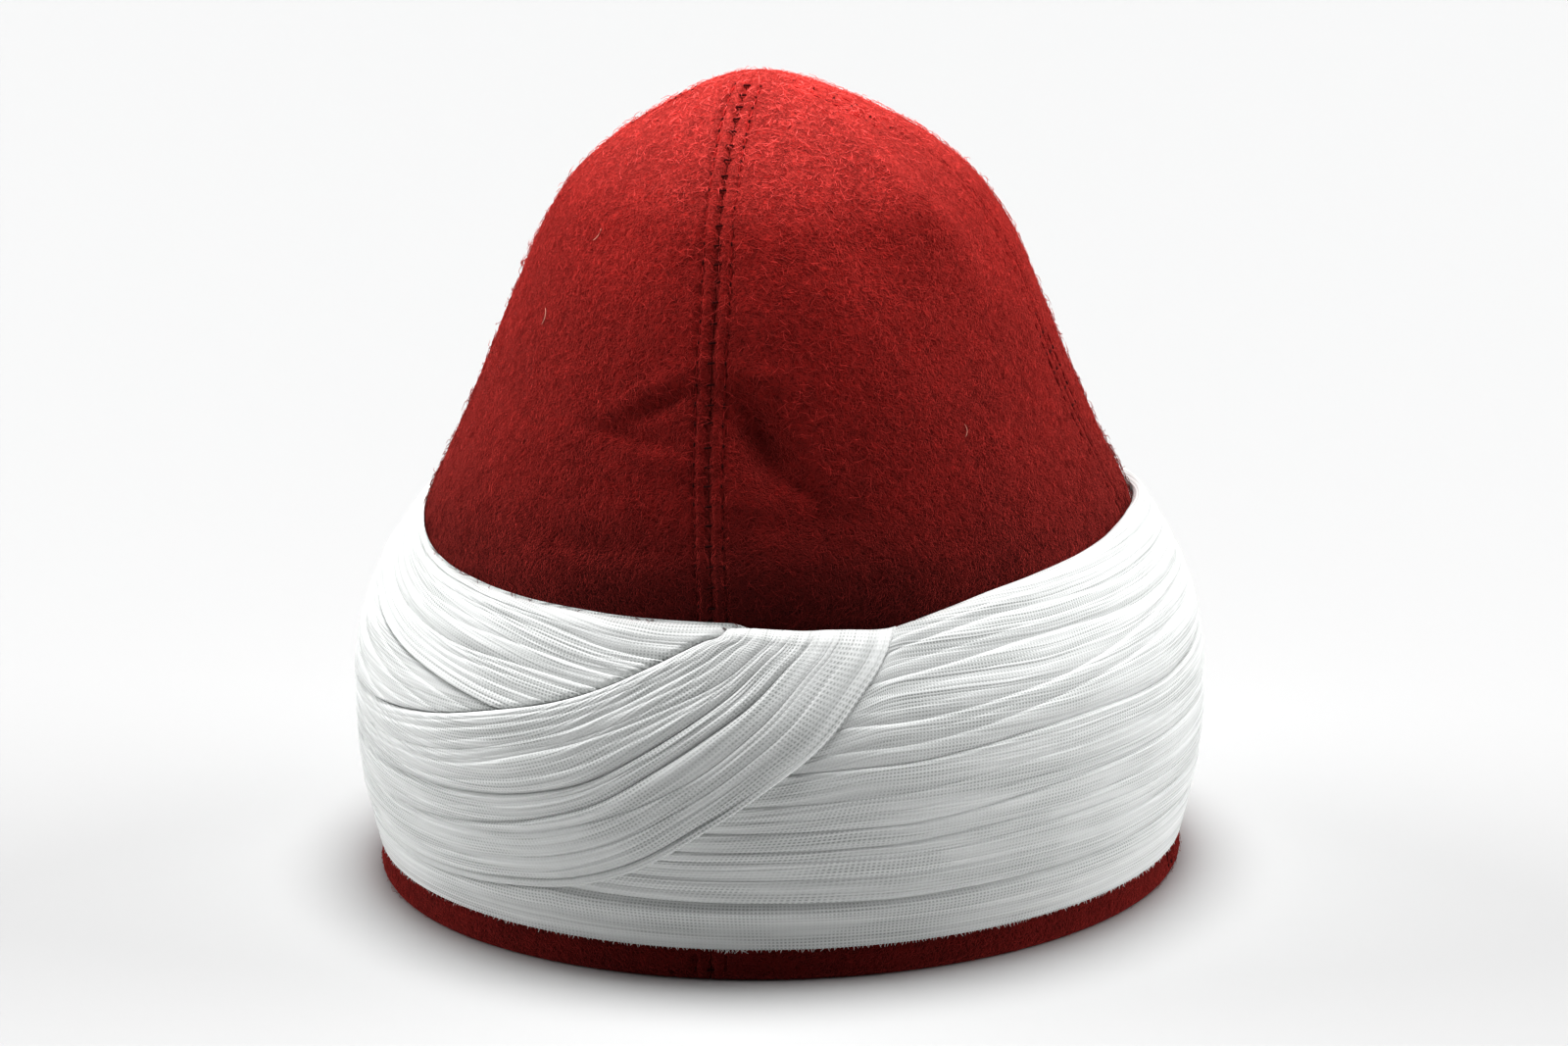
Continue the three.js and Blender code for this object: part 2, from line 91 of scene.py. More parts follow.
soft_lights = [
    # name, the way it comes from, how wide it looks from the cap in degrees, strength
    ("top_light", (0.0, 0.12, 1.0), 38, 4.05),
    ("left_light", (-1.0, 0.16, 0.3), 50, 2.65),
    ("right_light", (1.0, 0.42, 0.3), 50, 2.8),
]
for name, comes_from, width, strength in soft_lights:
    light_data = bpy.data.lights.new(name, "SUN")
    light_data.angle = np.radians(width)
    light_data.energy = strength
    light = bpy.data.objects.new(name, light_data)
    light.rotation_euler = Vector(comes_from).to_track_quat("Z", "Y").to_euler()
    scene.collection.objects.link(light)

# Felt gores
# Four gores cut from 2.5 mm red felt and sewn edge to edge from the rim to the apex. The felt
# is stiff, matted and hairy, and a few dents are pressed into the crown.
MM = 0.001
felt_wall = 2.5
cap_height = 193.5
shoulder_height = 88.0
foot_radius = 96
seam_gap = 0.3
stitch_pitch = 4.7
topstitch_from_seam = 3.3
# Height, outside radius and sideways lean in millimetres, and the seams' twist in degrees
cap_sections = np.array([
    (0, foot_radius, 0, 0), (40, 90.68, -0.34, -0.27), (70, 86.69, -0.6, -0.48),
    (82, 85.1, -0.71, -0.56), (88, 84.3, -0.76, -0.6), (93.3, 82.6, -0.84, -1),
    (99.6, 79.4, -0.93, -1.6), (118, 71.3, -1.1, -3), (137.4, 63.6, -1.26, -3.8),
    (156.7, 55.4, -1.43, -4.4), (167.3, 48.5, -1.77, -5.5), (176.1, 38.9, -2.28, -6.8),
    (183.8, 26.7, -3.37, -8.5), (189.6, 14.8, -4.72, -10), (192.6, 6, -5.56, -11),
    (193.5, 0.62, -5.73, -12),
])
# Angle, height, half angle, half height, tilt in degrees, depth; a fold that stands out is
# negative
dents = [
    (7, 121.5, 6.8, 8.8, -37, 5.5), (4, 136.5, 8, 3.4, -20, -0.9), (15, 111, 4, 3.5, -50, 1.2),
    (-14, 128, 7.5, 2.3, 62, 1.4), (-15, 132.5, 9, 3, 58, -0.7), (-18, 121, 9, 2.3, -25, 1.4),
    (-15, 117.5, 8, 2.4, -30, -0.7), (12, 104, 12, 4, 25, 0.8),
    (-23, 96.8, 12, 3.5, -8, 1.1), (36, 161, 12, 12, -20, 2.2), (58, 166, 9, 12, -30, -2.0),
    (52, 138, 14, 9, 10, 0.9), (-38, 160, 12, 9, 20, 0.7), (-60, 128, 12, 10, -15, 0.6),
    (150, 135, 20, 11.6, 15, 0.85), (-125, 120, 16, 9.7, -20, 1),
]


def smooth(x):
    """3x squared less 2x cubed, with x held between 0 and 1."""
    x = np.clip(x, 0, 1)
    return x * x * (3 - 2 * x)


def through(rows, at):
    """A table read along a smooth curve: its first column is the place, and between two rows
    runs a cubic whose slope at a row comes from the rows beside it."""
    rows = np.asarray(rows, float)
    place, value = rows[:, 0], rows[:, 1:]
    slope = np.gradient(value, place, axis=0)
    at = np.clip(at, place[0], place[-1])
    row = np.clip(np.searchsorted(place, at, side="right") - 1, 0, len(place) - 2)
    step = (place[row + 1] - place[row])[..., None]
    t = ((at - place[row])[..., None]) / step
    low, high = value[row], value[row + 1]
    return (
        low * (1 + 2 * t) * (1 - t) ** 2 + high * t * t * (3 - 2 * t)
        + step * (slope[row] * t * (1 - t) ** 2 - slope[row + 1] * t * t * (1 - t))
    )


def ripple(x, y, z, seed):
    """Soft random relief from -1 to 1: random values on a lattice of unit cells, blended
    smoothly between the eight corners round each place."""
    cells = 48
    lattice = np.random.default_rng(seed).uniform(-1, 1, (cells, cells, cells))
    x, y, z = np.broadcast_arrays(x, y, z)
    corner = [np.floor(a).astype(int) for a in (x, y, z)]
    share = [smooth(a - c) for a, c in zip((x, y, z), corner)]
    total = np.zeros(x.shape)
    for dx in (0, 1):
        for dy in (0, 1):
            for dz in (0, 1):
                weight = np.ones(x.shape)
                for s, d in zip(share, (dx, dy, dz)):
                    weight = weight * (s if d else 1 - s)
                i, j, k = [(c + d) % cells for c, d in zip(corner, (dx, dy, dz))]
                total += weight * lattice[i, j, k]
    return total


def oval(angle, height):
    """The plan is 3.1 percent longer on one diagonal at the foot, and round at the apex."""
    return 1 - 0.031 * np.sin(2 * np.radians(angle)) * (1 - height / cap_height)


cap_reach = np.concatenate([[0], np.cumsum(np.hypot(*np.diff(cap_sections[:, :2], axis=0).T))])
cap_table = np.column_stack([cap_reach, cap_sections])


def cap_section(reach):
    """Height, radius, lean and twist at a reach up the profile, and the direction square to
    it, as its share outwards and its share upwards."""
    here = through(cap_table, reach)
    ahead = through(cap_table, np.minimum(reach + 0.4, cap_reach[-1]))
    behind = through(cap_table, np.maximum(reach - 0.4, 0))
    rise, run = (ahead - behind)[..., 0], (behind - ahead)[..., 1]
    length = np.hypot(rise, run)
    return (*np.moveaxis(here, -1, 0), rise / length, run / length)


def dented(angle, height):
    """How far the dents and folds move the felt out, each shaped as a tilted bell."""
    relief = np.zeros(np.broadcast(angle, height).shape)
    for centre, level, half_angle, half_height, tilt, depth in dents:
        around = ((angle - centre + 180) % 360 - 180) / half_angle
        above = (height - level) / half_height - around * np.tan(np.radians(tilt))
        relief -= depth * np.exp(-1.2 * (around**2 + above**2))
    return relief


def seam_relief(from_seam, radius, reach, tight):
    """Relief beside a seam, by the distance from it: a groove where the edges meet, a low
    ridge over the turned edge, and a sunk row of stitches with a pit at each. How tight the
    seam is pulled scales all of it."""
    fade = tight * smooth((radius - 3) / 9)
    groove = -0.75 * np.exp(-((from_seam / 0.7) ** 2))
    ridge = 0.22 * np.exp(-(((from_seam - 1.9) / 1.0) ** 2))
    along = (reach / stitch_pitch + 0.5) % 1 - 0.5
    row = -((from_seam - topstitch_from_seam) ** 2)
    channel = -0.3 * np.exp(row / 0.6**2)
    pit = -0.9 * np.exp(row / 0.6**2 - (along * stitch_pitch / 0.8) ** 2)
    return fade * (groove + ridge + channel + pit)


def placed(angle, radius, height, lean):
    """Points in metres from cylinder places in millimetres and degrees."""
    turn = np.radians(angle)
    return MM * np.stack(np.broadcast_arrays(
        lean + radius * np.sin(turn), -radius * np.cos(turn), height), -1)


def cap_place(angle, reach, lift):
    """A point on the felt's outside, by its angle and its reach up the profile, raised square
    off the surface."""
    height, radius, lean, _, outwards, upwards = cap_section(reach)
    relief = dented(angle, height) + lift
    out = radius * oval(angle, height) + relief * outwards
    return placed(angle, out, np.maximum(height + relief * upwards, 0), lean)


def strip(first, second):
    """Triangles between two rows of vertex numbers that hold different counts."""
    middle = (np.arange(len(first) - 1) + 0.5) / (len(first) - 1)
    partner = np.rint(middle * (len(second) - 1)).astype(int)
    turn = np.searchsorted(partner, np.arange(len(second) - 1), side="right")
    return np.vstack([
        np.column_stack([first[:-1], first[1:], second[partner]]),
        np.column_stack([second[1:], second[:-1], first[turn]]),
    ])


def add_mesh(name, points, quads, triangles, material, corner_uv=None):
    """One mesh object from arrays of points and faces, turned to face outwards by its signed
    volume, smooth, with its place in its mesh."""
    a, b, c = (points[quads[:, i]] for i in range(3))
    d = points[quads[:, 3]]
    volume = (np.einsum("ij,ij->", a, np.cross(b, c)) + np.einsum("ij,ij->", a, np.cross(c, d)))
    if volume < 0:
        quads, triangles = quads[:, ::-1], triangles[:, ::-1]
        corner_uv = None if corner_uv is None else corner_uv[:, ::-1]
    mesh = bpy.data.meshes.new(name)
    mesh.vertices.add(len(points))
    mesh.vertices.foreach_set("co", points.astype(np.float32).ravel())
    loops = np.concatenate([quads.ravel(), triangles.ravel()])
    counts = np.concatenate([np.full(len(quads), 4), np.full(len(triangles), 3)])
    mesh.loops.add(len(loops))
    mesh.loops.foreach_set("vertex_index", loops.astype(np.int32))
    mesh.polygons.add(len(counts))
    starts = np.concatenate([[0], np.cumsum(counts)[:-1]])
    mesh.polygons.foreach_set("loop_start", starts.astype(np.int32))
    mesh.polygons.foreach_set("use_smooth", np.ones(len(counts), bool))
    if corner_uv is not None:
        uv = np.zeros((len(loops), 2), np.float32)
        uv[: quads.size] = corner_uv.reshape(-1, 2)
        mesh.uv_layers.new(name="weave").data.foreach_set("uv", uv.ravel())
    mesh.update(calc_edges=True)
    mesh.validate()
    mesh.materials.append(material)
    piece = bpy.data.objects.new(name, mesh)
    scene.collection.objects.link(piece)
    return piece


def add_wall(name, sections, outer_count, material, joined=False, section_uv=None):
    """A closed wall from a row of cross-sections, each a loop of points whose first
    outer_count points are its outside. The ends are joined, or each is closed by a strip."""
    count, size = sections.shape[:2]
    here = np.arange(count if joined else count - 1)[:, None] * size
    ahead = (here + size) % (count * size)
    point = np.arange(size)[None]
    after = (point + 1) % size
    quads = np.stack([here + point, ahead + point, ahead + after, here + after], -1)
    triangles = np.zeros((0, 3), int)
    if not joined:
        outer, inner = np.arange(outer_count), np.arange(size - 1, outer_count - 1, -1)
        last = (count - 1) * size
        triangles = np.vstack([strip(outer, inner), strip(outer, inner)[:, ::-1] + last])
    uv = None
    if section_uv is not None:
        spans = len(here)
        i, j = np.arange(spans)[:, None], np.arange(size)[None]
        uv = np.stack([
            section_uv[i, j], section_uv[i + 1, j],
            section_uv[i + 1, j + 1], section_uv[i, j + 1],
        ], -2).reshape(-1, 4, 2)
    wall = add_mesh(
        name, sections.reshape(-1, 3), quads.reshape(-1, 4), triangles, material, uv,
    )
    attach(wall, "root")
    return wall


class Paint:
    """A material, with a shorthand for each kind of node that these materials are made of. An
    input is a value, or the output that feeds it."""

    def __init__(self, name):
        self.material = bpy.data.materials.new(name)
        self.material.use_nodes = True
        self.tree = self.material.node_tree
        self.shader = self.tree.nodes["Principled BSDF"]
        self.place = self.node("ShaderNodeTexCoord").outputs["Object"]

    def node(self, kind, inputs=None, **settings):
        """A node with its settings, and its inputs by name or number."""
        made = self.tree.nodes.new(kind)
        for key, value in settings.items():
            setattr(made, key, value)
        for key, value in (inputs or {}).items():
            if isinstance(value, bpy.types.NodeSocket):
                self.tree.links.new(value, made.inputs[key])
            else:
                made.inputs[key].default_value = value
        return made

    def noise(self, vector, scale, detail, **more):
        """Soft noise, in four dimensions if W is given."""
        inputs = {"Vector": vector, "Scale": scale, "Detail": detail, **more}
        dimensions = "4D" if "W" in more else "3D"
        return self.node("ShaderNodeTexNoise", inputs,
                         noise_dimensions=dimensions).outputs["Fac"]

    def math(self, operation, *values):
        """What one operation makes of its values."""
        return self.node("ShaderNodeMath", dict(enumerate(values)),
                         operation=operation).outputs[0]

    def ranged(self, value, *limits):
        """A value taken from one range, low and high, to another, or else to 0 and 1."""
        return self.node("ShaderNodeMapRange", {"Value": value, **dict(enumerate(limits, 1))}
                         ).outputs[0]

    def mix(self, factor, first, second, blend_type="MIX"):
        """Two colours mixed by a factor, or multiplied."""
        return self.node("ShaderNodeMix", {"Factor": factor, "A": first, "B": second},
                         data_type="RGBA", blend_type=blend_type).outputs["Result"]

    def painted_height_light(self, level):
        """A level times painted light and shade by height: darker low down, in shade, and
        lighter and paler towards the apex, where the top light and sheen fall."""
        height = self.node("ShaderNodeSeparateXYZ", {0: self.place}).outputs["Z"]
        ramp = self.node("ShaderNodeValToRGB", {"Fac": self.ranged(height, 0.0, 0.194)})
        # Painted light and shade: darker low down, and lighter and paler up to the apex, where
        # the top light and sheen fall.
        for spot, red, rest in ((0.42, 0.09, 0.065), (0.48, 0.13, 0.09), (0.56, 0.26, 0.2),
                                (0.68, 0.36, 0.3), (0.85, 0.54, 0.52)):
            ramp.color_ramp.elements.new(spot).color = (red, rest, rest, 1)
        ramp.color_ramp.elements[0].color = (0.22, 0.17, 0.17, 1)
        ramp.color_ramp.elements[-1].color = (1.25, 2.2, 2.3, 1)
        return self.mix(1.0, level, ramp.outputs["Color"], "MULTIPLY")

    def finish(self, color, normal=None):
        """Feeds the shader its colour, and its normal if one is given."""
        self.tree.links.new(color, self.shader.inputs["Base Color"])
        if normal is not None:
            self.tree.links.new(normal, self.shader.inputs["Normal"])


def felt_material():
    """Red wool felt on Object coordinates: a deep red matted ground, and over it three layers
    of lighter tangled hairs, each where a soft noise crosses its middle value."""
    paint = Paint("red_wool_felt")
    slow = paint.noise(paint.place, 45, 3)
    lumps = paint.noise(paint.place, 420, 4, Roughness=0.7, Distortion=0.8)
    ground = paint.mix(
        paint.ranged(lumps, 0.3, 0.7), (0.33, 0.014, 0.012, 1), (0.78, 0.045, 0.037, 1))
    tangle = 0.0
    for layer, (scale, width) in enumerate(((380, 0.045), (640, 0.06), (1000, 0.08))):
        field = paint.noise(paint.place, scale, 1, W=3.7 * layer, Distortion=0.6)
        from_middle = paint.math("ABSOLUTE", paint.math("SUBTRACT", field, 0.5))
        tangle = paint.math("MAXIMUM", tangle, paint.ranged(from_middle, 0.0, width, 1.0, 0.0))
    haired = paint.mix(paint.math("MULTIPLY", tangle, 0.62), ground, (1.0, 0.09, 0.075, 1))
    # Random tone times painted light and shade by height: the felt is painted darker low down
    # and lighter and paler at the apex.
    painted_height_light = paint.painted_height_light(paint.ranged(slow, 0.3, 0.7, 0.82, 1.12))
    nap = paint.math("MULTIPLY_ADD", tangle, 0.3, lumps)
    bump = paint.node("ShaderNodeBump", {"Height": nap, "Strength": 0.9, "Distance": 0.0011})
    paint.finish(paint.mix(1.0, haired, painted_height_light, "MULTIPLY"), bump.outputs["Normal"])
    shader = paint.shader
    shader.inputs["Roughness"].default_value = 0.95
    shader.inputs["Specular IOR Level"].default_value = 0.1
    shader.inputs["Sheen Weight"].default_value = 0.9
    shader.inputs["Sheen Roughness"].default_value = 0.4
    shader.inputs["Sheen Tint"].default_value = (1, 0.13, 0.11, 1)
    return paint.material


red_felt = felt_material()

# Places up the profile: fine on the rim and the crown, wide where the winding hides the felt
rim_reach = [0, 0.15, 0.45, 0.9, 1.6, 2.6, 3.8, 5, 6.2, 7.5, 9, 11]
hidden_reach = np.linspace(15, 76, 12)
crown_reach = np.arange(78, cap_reach[-1] - 1.2, 0.85)
apex_reach = cap_reach[-1] + [-0.7, -0.3, 0]
felt_reach = np.concatenate([rim_reach, hidden_reach, crown_reach, apex_reach])
foot_round = 0.8 * (1 - smooth(felt_reach / 1.6)) ** 2
# Shares across a gore, close together beside its two seams
beside = np.concatenate([np.linspace(0, 4, 15), np.linspace(4.6, 12, 13)]) / 90
across_gore = np.concatenate([beside, np.linspace(0.145, 0.855, 72), 1 - beside[::-1]])
inside_gore = np.linspace(1, 0, 14)
# How tight each seam is pulled, from the front one round: the front one most
seam_pull = np.array([1, 0.35, 0.6, 0.35])


def gore_sections(start):
    """Cross-sections of one gore up the profile: the outside with its relief, then the plain
    inside one felt thickness further in."""
    reach = felt_reach[:, None]
    height, radius, lean, twist, outwards, upwards = cap_section(reach)

    def spread(shares, inwards):
        """Angles across the gore, with half the seam's gap left free at each side."""
        at_radius = np.maximum(radius - inwards * outwards, seam_gap)
        edge = np.degrees(np.arcsin(np.minimum(seam_gap / 2 / at_radius, 1)))
        return twist + start + edge + (90 - 2 * edge) * shares

    angle = spread(across_gore, 0)
    turn = np.radians(angle)
    place = np.array([radius * np.sin(turn), radius * np.cos(turn), height + 0 * angle])
    hair = 0.13 * ripple(*(place / 4.2), 11) + 0.09 * ripple(*(place / 1.7), 12)
    slow = 0.35 * ripple(*(place / 21), 13)
    from_seam = np.radians(90 * np.minimum(across_gore, 1 - across_gore)) * radius
    nearer_seam = (start // 90 + (across_gore > 0.5)) % 4
    lift = seam_relief(from_seam, radius, reach, seam_pull[nearer_seam])
    lift = lift + smooth((radius - 4) / 16) * (hair + slow)
    lift = lift * smooth(height / 4 + 0.25) - foot_round[:, None]
    outside = cap_place(angle, reach, lift)

    angle = spread(inside_gore, felt_wall)
    out = radius * oval(angle, height) + (dented(angle, height) - felt_wall) * outwards
    inside = placed(angle, out, np.maximum(height - felt_wall * upwards, 0), lean)
    return np.concatenate([outside, inside], axis=1)


for number, side in enumerate(["front_right", "back_right", "back_left", "front_left"]):
    gore = add_wall(
        f"sewn_gore_{side}", gore_sections(90 * number), len(across_gore), red_felt)
    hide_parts(f"felt_gore_{side}")

# Stitches and loose hair
# Dark thread pulls each seam shut with a short stitch across it, and a row of red topstitching
# holds the turned edges on both sides. Loose wool hairs stand and lie all over the felt.


def tubes(name, paths, facing, radius, sides, material):
    """Closed threads along many paths at once (threads by points by 3, metres): a ring of
    points round each path point, square to its run, with its ends drawn in and capped."""
    count, steps = paths.shape[:2]
    run = np.gradient(paths, axis=1)
    aside = np.cross(run, facing)
    aside /= np.linalg.norm(aside, axis=-1, keepdims=True)
    up = np.cross(aside, run)
    up /= np.linalg.norm(up, axis=-1, keepdims=True)
    turn = np.arange(sides) * 2 * np.pi / sides
    taper = np.ones(steps)
    taper[[0, -1]] = 0.45
    rings = paths[:, :, None] + MM * radius * taper[:, None, None] * (
        np.cos(turn)[:, None] * aside[:, :, None] + np.sin(turn)[:, None] * up[:, :, None])
    first = np.arange(count)[:, None, None] * steps * sides
    ring = np.arange(steps - 1)[None, :, None] * sides
    side, after = np.arange(sides), (np.arange(sides) + 1) % sides
    here, ahead = first + ring, first + ring + sides
    quads = np.stack([here + side, here + after, ahead + after, ahead + side], -1)
    start = first[:, 0, :] + np.arange(sides)
    end = start + (steps - 1) * sides
    caps = np.concatenate([start[:, ::-1], end])
    if sides == 4:
        quads, triangles = np.vstack([quads.reshape(-1, 4), caps]), np.zeros((0, 3), int)
    else:
        quads, triangles = quads.reshape(-1, 4), caps
    piece = add_mesh(name, rings.reshape(-1, 3), quads, triangles, material)
    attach(piece, "root")


def on_felt(name, angle, reach, lift, radius, sides, material):
    """Threads along paths on the felt, raised off it by a lift."""
    outwards, upwards = cap_section(reach)[4:]
    turn = np.radians(angle)
    facing = np.stack([outwards * np.sin(turn), -outwards * np.cos(turn), upwards], -1)
    tubes(name, cap_place(angle, reach, lift), facing, radius, sides, material)


def thread_material(name, color, scale, least, most):
    """Spun thread or loose wool on Object coordinates, mottled along its length between two
    levels, and with the same painted light and shade by height as the felt."""
    paint = Paint(name)
    level = paint.ranged(paint.noise(paint.place, scale, 2), 0.3, 0.7, least, most)
    # Painted light and shade by height, the same as on the felt.
    paint.finish(paint.mix(1.0, (*color, 1), paint.painted_height_light(level), "MULTIPLY"))
    shader = paint.shader
    shader.inputs["Roughness"].default_value = 0.8
    shader.inputs["Specular IOR Level"].default_value = 0.1
    shader.inputs["Sheen Weight"].default_value = 0.3
    shader.inputs["Sheen Tint"].default_value = (1, 0.12, 0.1, 1)
    return paint.material


def seam_angle(seam, reach, aside):
    """Angle of a place beside a seam, by its distance from it along the felt."""
    _, radius, _, twist, _, _ = cap_section(reach)
    return 90 * seam + twist + np.degrees(aside / np.maximum(radius, 1))


# Stitches stand one pitch apart up each seam, save where the winding hides them
stitch_reach = np.arange(0.5, cap_reach[-1] / stitch_pitch - 1) * stitch_pitch
stitch_reach = stitch_reach[(stitch_reach < 9) | (stitch_reach > 76)]
seam, at = [a.reshape(-1, 1) for a in np.meshgrid(np.arange(4), stitch_reach)]
jog = np.random.default_rng(71).normal(0, 1, (5, len(seam), 1))
across = np.array([-1.05, -0.6, 0, 0.6, 1.05]) + 0.12 * jog[0]
slant = at + 0.3 * jog[1] + np.array([-0.2, -0.1, 0, 0.1, 0.2])
lift = np.array([-0.5, 0, -0.12, 0, -0.5]) + 0.04 * jog[2] - 0.4 * (1 - seam_pull[seam])
seam_thread = thread_material("dark_seam_thread", (0.09, 0.006, 0.006), 4000, 0.7, 1.2)
on_felt("seam_stitches", seam_angle(seam, slant, across), slant, lift, 0.3, 4, seam_thread)

seam, at, side = [a.reshape(-1, 1) for a in np.meshgrid(np.arange(4), stitch_reach, [-1, 1])]
jog = np.random.default_rng(72).normal(0, 1, (3, len(seam), 1))
aside = side * topstitch_from_seam + 0.1 * jog[1]
run = at + stitch_pitch * np.array([0.14, 0.24, 0.5, 0.76, 0.86]) + 0.1 * jog[0]
lift = np.array([-0.6, -0.34, -0.2, -0.34, -0.6])
red_thread = thread_material("red_topstitch_thread", (0.6, 0.03, 0.026), 4000, 0.7, 1.2)
on_felt("topstitch_threads", seam_angle(seam, run, aside), run, lift, 0.2, 4, red_thread)
dip = at + np.array([-0.6, -0.3, 0, 0.3, 0.6]) + 0.12 * jog[2]
lift = np.array([-0.5, -0.2, -0.12, -0.2, -0.5]) - 0.25 * (1 - seam_pull[seam])
on_felt("topstitch_dips", seam_angle(seam, dip, aside), dip, lift, 0.27, 4, seam_thread)


def hair_paths(count, seed, reach_range, length_range, stand):
    """Random short curved hairs on the felt, spread evenly over its area: each starts in the
    felt, bends sideways as it goes, and rises to a height drawn from stand. Gives each path's
    angle, reach and lift."""
    draw = np.random.default_rng(seed)
    reach = draw.uniform(*reach_range, count * 3)
    wide = cap_section(reach)[1] / foot_radius
    reach = reach[draw.uniform(0, 1, count * 3) < wide][:count, None]
    size = (len(reach), 1)
    angle = draw.uniform(-180, 180, size)
    heading = draw.uniform(0, 2 * np.pi, size) + draw.normal(0, 0.8, size) * [0, 0.5, 1]
    length = draw.uniform(*length_range, size) * [0, 0.5, 1]
    radius = np.maximum(cap_section(reach)[1], 5)
    along = np.clip(reach + length * np.sin(heading), 0.3, cap_reach[-1] - 0.3)
    around = angle + np.degrees(length * np.cos(heading) / radius)
    rise = draw.exponential(stand, size) * [0, 0.8, 1] + [-0.1, 0.16, 0.08]
    return around, along, np.minimum(rise, 1.1)


loose_wool = thread_material("loose_red_wool", (1.0, 0.12, 0.105), 700, 0.8, 1.65)
crown_hair = hair_paths(12500, 73, (79, cap_reach[-1] - 2), (1.0, 4.2), 0.26)
on_felt("loose_crown_hair", *crown_hair, 0.07, 3, loose_wool)
rim_hair = hair_paths(1300, 74, (0.6, 7.4), (0.8, 2.6), 0.14)
on_felt("loose_rim_hair", *rim_hair, 0.06, 3, loose_wool)

# Three pale hairs that caught on the felt: angle, reach, length, heading
pale_hairs = [(-42, 169, 3.6, 70), (-50, 147, 4.2, 100), (49, 124, 3.2, 80)]
angle, reach, length, heading = np.array(pale_hairs).T[:, :, None]
share = np.linspace(-0.5, 0.5, 7)
heading = np.radians(heading + 40 * share)
angle = angle + length * share * np.cos(heading)
reach = reach + length * share * np.sin(heading)
pale_wool = thread_material("pale_stray_wool", (1.0, 0.75, 0.6), 900, 1.6, 2.4)
on_felt("pale_stray_hairs", angle, reach, 0.3, 0.1, 4, pale_wool)

# Winding of white muslin
# Thin white cotton gauze, laid in narrow pleats and wound tight round the cap, so that many
# soft edges lie over each other like shingles. All the turns lie on one padded section.
band_foot = 7.6
band_top = 83.0
wall_taper = 11.7
wall_lean = -0.76
turn_thickness = 2.6
sash_lift = 1.75
turn_gap = 0.6
layer_gap = 0.4
# Angle, and how far the winding's upper edge stands above its place at the front
top_edge = [
    (-180, 8.7), (-120, 7.6), (-80, 5.2), (-66, 2.1), (-44, 0.2), (-20, 0), (0, 0), (20, -0.9),
    (27, -1.3), (31, -0.2), (36, 1.5), (45, 3.6), (69, 6.4), (100, 8.7), (180, 8.7),
]
# Share of the winding's height, and how far it stands out from the felt
band_section = [
    (0, 1.3), (0.08, 3.8), (0.2, 7.4), (0.4, 11.3), (0.6, 12.7), (0.75, 11.1), (0.86, 7.9),
    (0.94, 4.8), (0.985, 2.5), (1, 0.8),
]


def wall_at(angle, height):
    """Outside radius and lean of the straight felt wall under the winding."""
    share = height / shoulder_height
    return (foot_radius - wall_taper * share) * oval(angle, height), wall_lean * share


def band_height(angle, share):
    """Height of a place on the winding, from its lower edge at share 0 to its upper at 1."""
    top = band_top + through(top_edge, (angle + 180) % 360 - 180)[..., 0]
    top = top + 0.35 * ripple((angle + 180) % 360 / 7.5, 0.5, 0.5, 34)
    return band_foot + share * (top - band_foot)


def band_place(angle, share, offset):
    """Radius, height and lean of a place on the winding's section, moved square off it by an
    offset, and never nearer to the felt than one gap."""
    def section(at):
        """The wall's radius with the section's depth added, and the height."""
        height = band_height(angle, at)
        depth = through(band_section, at)[..., 0]
        return wall_at(angle, height)[0] + depth, height

    above, below = section(np.minimum(share + 0.015, 1)), section(np.maximum(share - 0.015, 0))
    rise, run = above[1] - below[1], above[0] - below[0]
    length = np.hypot(rise, run)
    radius, height = section(share)
    radius, height = radius + offset * rise / length, height - offset * run / length
    wall, lean = wall_at(angle, height)
    off_felt = layer_gap * smooth((1 - share) / 0.03) + 0.05
    return np.maximum(radius, wall + off_felt), height, lean


def against_felt(angle, share):
    """Points on the winding's inside, one gap off the felt."""
    height = band_height(angle, share)
    wall, lean = wall_at(angle, height)
    return placed(angle, wall + layer_gap, height, lean)


# Distances from a pleat's lower and upper lines at which its rows of points lie
major_rows = ([0.16, 0.42, 0.85, 1.5], [0.78, 0.5, 0.27, 0.1])
minor_rows = ([0.22, 0.6], [0.5, 0.18])


def pleats(lines, depth, width, major, crisp=0.85, slope=2.6):
    """Rows across a pleated turn. Each line is the groove under a pleat's upper edge: the
    cloth rises steeply out of it below the line, over a crisp distance, and slowly above it,
    over the slope. Gives the rows' shares of the width and how far each lies in."""
    edges = np.concatenate([0 * lines[:1], lines, 0 * lines[:1] + 1])
    depths = np.concatenate([0 * depth[:1], depth, 0 * depth[:1]])
    shares, sunk = [], []
    for pleat in range(len(edges) - 1):
        low, high = edges[pleat], edges[pleat + 1]
        room = np.maximum((high - low) * width, 1e-6)
        wide = major[pleat] if pleat < len(major) else major[-1]
        lower, upper = major_rows if wide else minor_rows
        scale = np.minimum(1, room / (lower[-1] + upper[0] + 0.7))
        from_low = [0 * room] + [scale * d for d in lower]
        from_low.append((scale * lower[-1] + room - scale * upper[0]) / 2)
        from_low += [room - scale * d for d in upper]
        for distance in from_low:
            rise = np.minimum(distance / slope, 1)
            fall = np.minimum((room - distance) / crisp, 1)
            shares.append(low + (high - low) * distance / room)
            sunk.append(-depths[pleat] * (1 - rise) ** 1.7 - depths[pleat + 1] * (1 - fall) ** 2)
    shares.append(edges[-1])
    sunk.append(0 * edges[-1])
    return np.array(shares), np.array(sunk)


def wander(lines, along, seed, reach=38, size=0.2):
    """Lines that drift a little along the turn, by at most a share of the room beside them."""
    full = np.concatenate([0 * lines[:1], lines, 0 * lines[:1] + 1])
    room = np.minimum(np.diff(full, axis=0)[:-1], np.diff(full, axis=0)[1:])
    number = np.arange(len(lines))[:, None] * 7.3
    return lines + size * room * ripple(along / reach, number, 0.5, seed)


